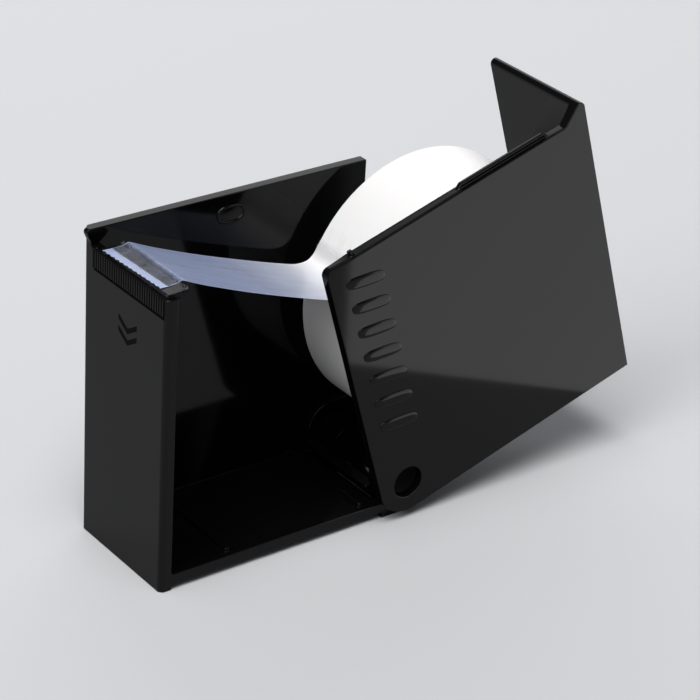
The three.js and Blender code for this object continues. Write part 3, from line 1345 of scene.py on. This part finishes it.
    def underside(self) -> None:
        """Dresses the ballast plate and the pad, whose plain shapes are right as they are."""
        for node, coat in (
            ("ballast_plate", self.studio.finishes.steel),
            ("non_slip_pad", self.studio.finishes.rubber),
        ):
            made = frame["nodes"][node]
            made.data.materials.clear()
            made.data.materials.append(coat.material)

    def build(self) -> None:
        """Builds every piece of the base."""
        self.shell()
        self.grip()
        self.badge()
        self.arrows()
        self.pins()
        self.underside()


@dataclass
class Cutter:
    """The clear toothed bar along the top of the front wall. Sizes are in millimetres."""

    studio: Studio
    near: float = 1.0
    far: float = 24.0
    front: float = 0.7
    lip: float = 5.7
    seat: float = 64.5
    rise: float = 1.25
    tooth_pitch: float = 0.72
    tooth_depth: float = 0.42

    def _section(self, lip: float) -> list[Point]:
        """The bar's side view.

        Args:
            lip: how far back its toothed edge reaches.

        Returns:
            Its corners, in order.
        """
        top = self.seat + self.rise
        return [
            (self.front, self.seat + 0.02),
            (2.74, self.seat + 0.02),
            (2.74, self.seat - 1.45),
            (3.1, self.seat - 1.5),
            (self.lip - 0.35, self.seat + 0.45),
            (lip, top - 0.1),
            (lip - 0.08, top),
            (lip - 0.65, top - 0.26),
            (3.0, self.seat + 0.83),
            (self.front + 0.25, self.seat + 0.8),
            (self.front, self.seat + 0.62),
        ]

    def build(self) -> bpy.types.Object:
        """Builds the bar as a run of sections whose lip zigzags into teeth.

        Returns:
            The piece.
        """
        made = bmesh.new()
        count = int((self.far - self.near) / self.tooth_pitch) * 2
        rings = []
        for i in range(count + 1):
            y = self.near + (self.far - self.near) * i / count
            lip = self.lip - (self.tooth_depth if i % 2 else 0.0)
            rings.append([made.verts.new((x, y, z)) for x, z in self._section(lip)])
        for first, second in zip(rings, rings[1:]):
            for k in range(len(first)):
                j = (k + 1) % len(first)
                made.faces.new((first[k], first[j], second[j], second[k]))
        made.faces.new(rings[0])
        made.faces.new(rings[-1])
        mesh = finished(made, "cutter")
        clear = self.studio.finishes.clear
        return self.studio.piece(
            "cutter_teeth_bar", mesh, Body.BASE, clear, "cutter_bar", sharp=20.0
        )


@dataclass
class TapeLead:
    """The free tape between cutter and roll. Sizes are in millimetres."""

    studio: Studio
    near: float = 3.8
    width: float = 18.98
    thickness: float = 0.07
    sag: float = 0.25
    skew: float = 0.8
    skew_reach: float = 4.0
    stuck: float = 5.5
    cut_depth: float = 0.30
    step: float = 0.6
    across: int = 52
    bend_start: tuple[float, float, float] = (2.3, 3.8, 59.5)
    bend_end: tuple[float, float, float] = (36.4, 3.8, 36.6)

    def _route(self) -> list[Point]:
        """The tape's underside in side view, from its cut end to the roll.

        Returns:
            Its points, at most about one step apart.
        """
        knots = [
            (0.35, 65.46),
            (2.8, 65.40),
            (4.8, 65.56),
            (5.75, 65.83),
            (6.6, 65.58),
            (12.0, 63.15),
            (22.7, 58.9),
            (34.8, 54.6),
            (43.5, 51.75),
            (46.8, 51.0),
            (49.2, 51.25),
            (50.65, 52.45),
            (51.55, 54.1),
            (52.6, 56.0),
            (54.0, 58.1),
        ]

        def smooth(a: float, b: float, c: float, d: float, t: float) -> float:
            """A curve through b, at t 0, and c, at t 1, with a and d as the next knots."""
            square = (2 * a - 5 * b + 4 * c - d) * t * t
            return 0.5 * (2 * b + (c - a) * t + square + (3 * b - a - 3 * c + d) * t**3)

        route: list[Point] = []
        for i in range(len(knots) - 1):
            p0, p1 = knots[max(i - 1, 0)], knots[i]
            p2, p3 = knots[i + 1], knots[min(i + 2, len(knots) - 1)]
            steps = max(3, int(math.dist(p1, p2) / self.step))
            for k in range(steps):
                route.append(tuple(smooth(*values, k / steps) for values in zip(p0, p1, p2, p3)))
        return route + [knots[-1]]

    def build(self) -> bpy.types.Object:
        """Builds the strip with a toothed cut end and a slight hollow across its width.

        Returns:
            The piece, which rides on neither body.
        """
        route = self._route()
        across = self.across
        made = bmesh.new()
        uv_layer = made.loops.layers.uv.new("UVMap")
        run = [0.0]
        for a, b in zip(route, route[1:]):
            run.append(run[-1] + math.dist(a, b))
        layers: list[list[list[bmesh.types.BMVert]]] = []
        for side in (0, 1):
            rows = []
            for i, (x, z) in enumerate(route):
                before, after = route[max(i - 1, 0)], route[min(i + 1, len(route) - 1)]
                along = Vector((after[0] - before[0], after[1] - before[1])).normalized()
                normal = Vector((-along.y, along.x))
                row = []
                loose = (run[i] - self.stuck) / (run[-1] - self.stuck)
                free = math.sin(math.pi * min(1.0, max(0.0, loose)))
                for j in range(across + 1):
                    v = j / across
                    hollow = -self.sag * free * (1 - (2 * v - 1) ** 2)
                    lift = side * self.thickness + hollow
                    bite = self.skew * (1 - v) * max(0.0, 1 - run[i] / self.skew_reach)
                    if i == 0:
                        bite -= self.cut_depth * abs((j % 4) - 2) / 2
                    px = x + normal.x * lift + bite
                    pz = z + normal.y * lift
                    row.append(made.verts.new((px, self.near + v * self.width, pz)))
                rows.append(row)
            layers.append(rows)

        def quad(*corners: tuple[int, int, int]) -> None:
            """Adds one face, with its UV places.

            Args:
                corners: each corner's side, row and column.
            """
            face = made.faces.new([layers[side][i][j] for side, i, j in corners])
            for loop, (_, i, j) in zip(face.loops, corners):
                loop[uv_layer].uv = (run[i] / run[-1], j / across)

        last = len(route) - 1
        for side in (0, 1):
            for i in range(last):
                for j in range(across):
                    quad((side, i, j), (side, i + 1, j), (side, i + 1, j + 1), (side, i, j + 1))
        for i in range(last):
            for j in (0, across):
                quad((0, i, j), (0, i + 1, j), (1, i + 1, j), (1, i, j))
        for j in range(across):
            for i in (0, last):
                quad((0, i, j), (0, i, j + 1), (1, i, j + 1), (1, i, j))
        mesh = finished(made, "lead")
        film = self.studio.finishes.film
        piece = self.studio.piece(
            "tape_strip", mesh, Body.BASE, film, "tape_lead", sharp=60.0, rides=False
        )
        layout = self.studio.base
        tuple(layout.point(*self.bend_start))
        tuple(layout.point(*self.bend_end))
        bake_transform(piece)
        return piece


# ---------------------------------------------------------------- cover


@dataclass
class Cover:
    """The hinged upper moulding, laid out from the hinge axis. Sizes are in millimetres."""

    studio: Studio
    hinge: Point
    hub: Point
    height: float = 68.3
    wall: float = 2.27
    side_gap: float = 0.3
    corner_radius: float = 6.9
    far: float = 25.1
    top_wall: float = 2.2
    rear_wall: float = 2.3
    tip_reach: float = 62.03
    flare_height: float = 62.8
    front_inset: float = 0.44
    lip_radius: float = 1.08
    front_radius: float = 1.5
    ear: tuple[float, float] = (24.2, 26.4)
    ear_inset: float = 0.6
    boss_radius: float = 7.0
    socket_radius: float = 3.2
    bore_radius: float = 3.5
    bar_centre: Point = (6.6, 9.9)
    bar_inset: float = 0.012
    bar_pitch: float = 6.1
    bar_size: tuple[float, float, float] = (2.9, 0.7, 9.4)
    bar_slant: float = 2.2 / 9.0
    edge: float = 0.2

    def _panel(self) -> Blank:
        """The near panel, with its flare to the top wall's tip, stop tab and nub.

        Returns:
            One solid.
        """
        x, z = self.hinge
        front, bottom, top = self.front_inset - x, -self.corner_radius, self.height - z
        curve, lip = self.front_radius, self.lip_radius
        outline = arc((front + curve, bottom + curve), curve, 180, 270, 8)
        outline += arc((0, 0), self.corner_radius, -90, 0, 20)
        outline += [(self.corner_radius, top)]
        outline += arc((-self.tip_reach + lip, top - lip), lip, 90, 222, 11)
        outline += [(front, self.flare_height - z)]
        out = -self.side_gap - self.wall
        made = Blank(prism(outline, out, -self.side_gap))
        tab = [(0.5, 34.9), (-0.88, 36.6), (-0.88, 57.9), (0.5, 59.3)]
        tab = [(front + a, b - z) for a, b in tab]
        nub = rectangle((front - 0.78, 8.4 - z), (front + 0.5, 9.4 - z), (0.2, 0, 0, 0.2), 4)
        made.join(prism(tab, -1.4, -self.side_gap - 0.001))
        return made.join(prism(nub, out + 0.8, -self.side_gap - 0.002))

    def _top(self) -> bpy.types.Mesh:
        """The top wall, with a rounded front lip.

        Returns:
            A closed mesh.
        """
        top = self.height - self.hinge[1]
        low = top - self.top_wall
        outline = [(self.corner_radius, low), (self.corner_radius, top)]
        lip = self.lip_radius
        outline += arc((-self.tip_reach + lip, top - lip), lip, 90, 270, 15)
        return prism(outline, -self.side_gap - self.wall + 0.5, self.far)

    def _rear(self) -> Blank:
        """The rear wall and the round corner that it ends in, notched clear of the base's lug.

        Returns:
            One solid.
        """
        top, radius = self.height - self.hinge[1], self.corner_radius
        inner = radius - self.rear_wall
        outline = [(radius, top - 0.5), (inner, top - 0.5)] + arc((0, 0), inner, 0, -90, 16)
        outline += arc((0, 0), radius, -90, 0, 20)
        made = Blank(prism(outline, -self.side_gap - self.wall + 0.5, self.far))
        return made.cut(box((-radius - 1, -self.side_gap + 0.001, -radius - 1), (radius + 1, 3.3, 7.1)))

    def _far_web(self) -> bpy.types.Mesh:
        """The tapering web that carries the far ear up the rear wall.

        Returns:
            A closed mesh.
        """
        radius = self.corner_radius - self.ear_inset
        inner, outer = radius - self.rear_wall, radius - 0.3
        outline = [(-radius * 0.985, 0.9), (outer, 0.9), (outer, 24.0), (inner, 24.0), (-4.5, 9.0)]
        return prism(outline, *self.ear)

    def shell(self) -> bpy.types.Object:
        """Builds the cover moulding: near panel, top and rear walls, hub boss and far ear.

        Returns:
            The piece.
        """
        made = self._panel()
        made.join(self._top(), self._rear())
        made.join(prism(circle((0, 0), self.corner_radius - self.ear_inset, 80), *self.ear))
        made.join(self._far_web())
        made.join(prism(circle(self.hub, self.boss_radius, 64), -self.side_gap - 0.2, 1.5))
        made.cut(prism(circle(self.hub, self.socket_radius, 48), -0.1, 3.0))
        made.cut(prism(circle((0, 0), self.bore_radius, 64), -4.0, self.ear[1] + 1.0))
        mesh = made.tidy().bevel(self.edge, 3).take()
        gloss = self.studio.finishes.gloss
        return self.studio.piece("cover_moulding", mesh, Body.COVER, gloss, "cover_shell")

    def motif(self) -> bpy.types.Object:
        """Builds the row of raised slanted bars along the panel's front edge.

        Returns:
            The piece.
        """
        x, z = self.hinge
        out = -self.side_gap - self.wall
        bars = BarRow(
            count=7,
            first=(self.bar_centre[0] - x, out + self.bar_inset, self.bar_centre[1] - z),
            step=(self.bar_pitch, 0.0, 0.0),
            size=self.bar_size,
            slant=self.bar_slant,
            crease=0.28,
            level=3,
        )
        gloss = self.studio.finishes.gloss
        return self.studio.piece("raised_bars", bars.mesh(gloss.material), Body.COVER, gloss)

    def hub_parts(self) -> None:
        """Builds the spindle, the felt and steel washers and the slotted screw."""
        finishes = self.studio.finishes
        spindle = [(0, 0.2), (2.9, 0.2), (2.9, 1.8), (4, 1.8), (4, 23), (3.6, 23.4)]
        spindle += [(1.35, 23.4), (1.35, 13), (0, 13)]
        felt = [(4.3, 1.8), (8.5, 1.8), (8.5, 2.7), (4.3, 2.7), (4.3, 1.8)]
        washer = [(1.6, 23.6), (6.8, 23.6), (6.8, 24.2), (1.6, 24.2), (1.6, 23.6)]
        screw = [(0, 14.5), (1.2, 15.2), (1.2, 24.5), (3, 24.5), (2.95, 25.2), (2.2, 25.85)]
        screw += [(0, 26)]
        rows = (
            ("hub_spindle", spindle, finishes.satin),
            ("drag_washer", felt, finishes.felt),
            ("hub_washer", washer, finishes.steel),
            ("retainer_screw", screw, finishes.steel),
        )
        for node, profile, coat in rows:
            mesh = lathe(softened(profile, 0.14), self.hub, 72)
            if node == "retainer_screw":
                u, v = self.hub
                slot_cut = box((u - 4.0, 25.25, v - 0.4), (u + 4.0, 27.0, v + 0.4))
                mesh = Blank(mesh).cut(slot_cut).take()
            self.studio.piece(node + "_turned", mesh, Body.COVER, coat, node)

    def build(self) -> None:
        """Builds every piece of the cover."""
        self.shell()
        self.motif()
        self.hub_parts()


# ---------------------------------------------------------------- roll


@dataclass
class Roll:
    """The tape roll on its spool wheel, laid out with the cover. Sizes are in millimetres."""

    studio: Studio
    hub: Point
    near: float = 3.8
    width: float = 19.0
    outer: float = 28.8
    core_outer: float = 14.1

    def winding(self) -> bpy.types.Object:
        """Builds the wound tape, with faint steps between its layers on both sides.

        Returns:
            The piece.
        """
        start, end = self.core_outer + 0.3, self.outer
        count = 44
        radii = [start + (end - 0.12 - start) * i / count for i in range(count + 1)]
        uneven = [0.045 * math.sin(2.9 * i) * math.sin(0.7 * i + 1.0) for i in range(count + 1)]
        near, far = self.near, self.near + self.width
        profile = [(r, near + 0.05 + d) for r, d in zip(radii, uneven)]
        profile += [(end - 0.03, near + 0.06), (end, near + 0.2), (end, far - 0.2), (end - 0.03, far - 0.06)]
        profile += [(r, far - 0.05 - d) for r, d in zip(reversed(radii), reversed(uneven))]
        mesh = lathe(profile + [profile[0]], self.hub, 160)
        wound = self.studio.finishes.wound
        return self.studio.piece("wound_tape", mesh, Body.ROLL, wound, "tape_winding", sharp=50.0)

    def core(self) -> bpy.types.Object:
        """Builds the card core.

        Returns:
            The piece.
        """
        near, far = self.near, self.near + self.width
        profile = [(12.8, near), (self.core_outer, near), (self.core_outer, far), (12.8, far), (12.8, near)]
        mesh = lathe(softened(profile, 0.12), self.hub, 96)
        return self.studio.piece("card_core", mesh, Body.ROLL, self.studio.finishes.card, "tape_core")

    def wheel(self) -> bpy.types.Object:
        """Builds the spool wheel: sleeve, web and rim.

        Returns:
            The piece.
        """
        near, far = self.near, self.near + self.width
        profile = [
            (4.3, 3.0), (6.2, 3.0), (6.2, 12.4), (11.0, 12.4), (11.0, near), (12.5, near), (12.5, far),
            (11.0, far), (11.0, 14.4), (6.2, 14.4), (6.2, 23.2), (4.3, 23.2), (4.3, 3.0),
        ]
        mesh = lathe(softened(profile, 0.25), self.hub, 96)
        satin = self.studio.finishes.satin
        return self.studio.piece("spool_wheel", mesh, Body.ROLL, satin, "core_wheel")

    def build(self) -> None:
        """Builds every piece of the roll."""
        self.winding()
        self.core()
        self.wheel()


# ---------------------------------------------------------------- studio set


@dataclass(frozen=True)
class SoftBox:
    """A rectangular light that lenses don't see but polished faces do."""

    name: str
    place: tuple[float, float, float]
    aim: tuple[float, float, float]
    size: tuple[float, float]
    power: float
    colour: tuple[float, float, float] = (1.0, 1.0, 1.0)

    def build(self) -> bpy.types.Object:
        """Makes the light.

        Returns:
            The light.
        """
        light = bpy.data.lights.new(self.name, "AREA")
        light.shape = "RECTANGLE"
        light.size, light.size_y = self.size
        light.energy = self.power
        light.color = self.colour
        made = bpy.data.objects.new(self.name, light)
        made.location = self.place
        made.rotation_euler = (Vector(self.aim) - Vector(self.place)).to_track_quat("-Z", "Y").to_euler()
        made.visible_camera = False
        bpy.context.scene.collection.objects.link(made)
        return made


@dataclass
class StudioSet:
    """Floor, lights and camera. Places are in metres, angles in degrees, lens and sensor in millimetres."""

    lens: float = 140.903
    azimuth: float = -38.0
    elevation: float = 28.0
    roll: float = 3.48
    distance: float = 0.55643
    target: tuple[float, float, float] = (0.01838, -0.0034, 0.03586)
    sensor: float = 36.0
    nearest: float = 0.01
    floor_half: float = 3.0
    room_colour: tuple[float, float, float] = (0.84, 0.87, 0.93)
    room_strength: float = 0.18

    def floor(self) -> None:
        """Lays a wide pale floor."""
        half = self.floor_half
        mesh = bpy.data.meshes.new("floor")
        corners = [(-half, -half, 0), (half, -half, 0), (half, half, 0), (-half, half, 0)]
        mesh.from_pydata(corners, [], [(0, 1, 2, 3)])
        mesh.materials.append(Tabletop().build())
        made = bpy.data.objects.new("floor", mesh)
        bpy.context.scene.collection.objects.link(made)

    def world(self) -> None:
        """Fills the room with even, faintly cool light."""
        world = bpy.data.worlds.new("room")
        world.use_nodes = True
        back = world.node_tree.nodes["Background"]
        back.inputs["Color"].default_value = (*self.room_colour, 1.0)
        back.inputs["Strength"].default_value = self.room_strength
        bpy.context.scene.world = world

    def lights(self) -> None:
        """Hangs three wide softboxes, and stands a bright card at the right, close to the object."""
        warm = (1.0, 0.99, 0.98)
        SoftBox("overhead", (-0.36, -0.30, 1.50), (0.04, 0.0, 0.0), (1.02, 1.02), 27.0, warm).build()
        SoftBox("left", (-1.1, -0.25, 0.85), (0.0, 0.0, 0.03), (0.7, 0.7), 9.0, warm).build()
        SoftBox("backdrop_glow", (0.9, 1.15, 0.7), (0.0, 0.0, 0.05), (1.6, 1.2), 13.0).build()
        card = SoftBox("side_card", (0.131, -0.001, 0.065), (0.031, 0.099, 0.065), (0.215, 0.13), 0.165)
        card.build().visible_diffuse = False

    def camera(self) -> None:
        """Sets the camera by its angles about the target."""
        az, el, roll = (math.radians(v) for v in (self.azimuth, self.elevation, self.roll))
        back = Vector((math.sin(az) * math.cos(el), -math.cos(az) * math.cos(el), math.sin(el)))
        right = Vector((0, 0, 1)).cross(back).normalized()
        up = back.cross(right)
        tilted_right = right * math.cos(roll) + up * math.sin(roll)
        tilted_up = up * math.cos(roll) - right * math.sin(roll)
        data = bpy.data.cameras.new("camera")
        data.lens = self.lens
        data.sensor_width = self.sensor
        data.clip_start = self.nearest
        made = bpy.data.objects.new("camera", data)
        axes = Matrix((tilted_right, tilted_up, back)).transposed().to_4x4()
        made.matrix_world = Matrix.Translation(Vector(self.target) + back * self.distance) @ axes
        bpy.context.scene.collection.objects.link(made)
        bpy.context.scene.camera = made

    def build(self) -> None:
        """Builds the whole set."""
        self.camera()
        self.floor()
        self.world()
        self.lights()
        bpy.context.scene.view_settings.view_transform = "Standard"


def main() -> None:
    """Builds the dispenser's looks in order."""
    logging.basicConfig(level=logging.INFO, format="%(name)s: %(message)s")
    joints = {j["name"]: j for j in frame["joints"]}
    hinge = joints["cover_hinge"]["pos_m"]
    spin = joints["roll_spin"]["pos_m"]
    open_angle = -math.radians(joints["cover_hinge"]["range_deg"][0])

    scale = Matrix.Scale(MM, 4)
    origin = Vector(BASE_CORNER) * MM
    base_layout = Layout(Matrix.Translation(origin) @ scale)
    turn = Matrix.Rotation(open_angle, 4, "Y")
    on_hinge = Matrix.Translation(Vector((hinge[0], origin.y, hinge[2])))
    cover_layout = Layout(on_hinge @ turn @ scale)
    hinge_mm = ((hinge[0] - origin.x) / MM, hinge[2] / MM)
    hub_mm = cover_layout.matrix.inverted() @ Vector((spin[0], origin.y, spin[2]))
    hub = (hub_mm.x, hub_mm.z)

    finishes = Finishes((spin[0], spin[2]))
    StudioSet().build()
    studio = Studio(base_layout, cover_layout, finishes)
    Base(studio, hinge_mm, open_angle).build()
    Cutter(studio).build()
    TapeLead(studio).build()
    Cover(studio, hinge_mm, hub).build()
    Roll(studio, hub).build()


if __name__ == "__main__":
    main()
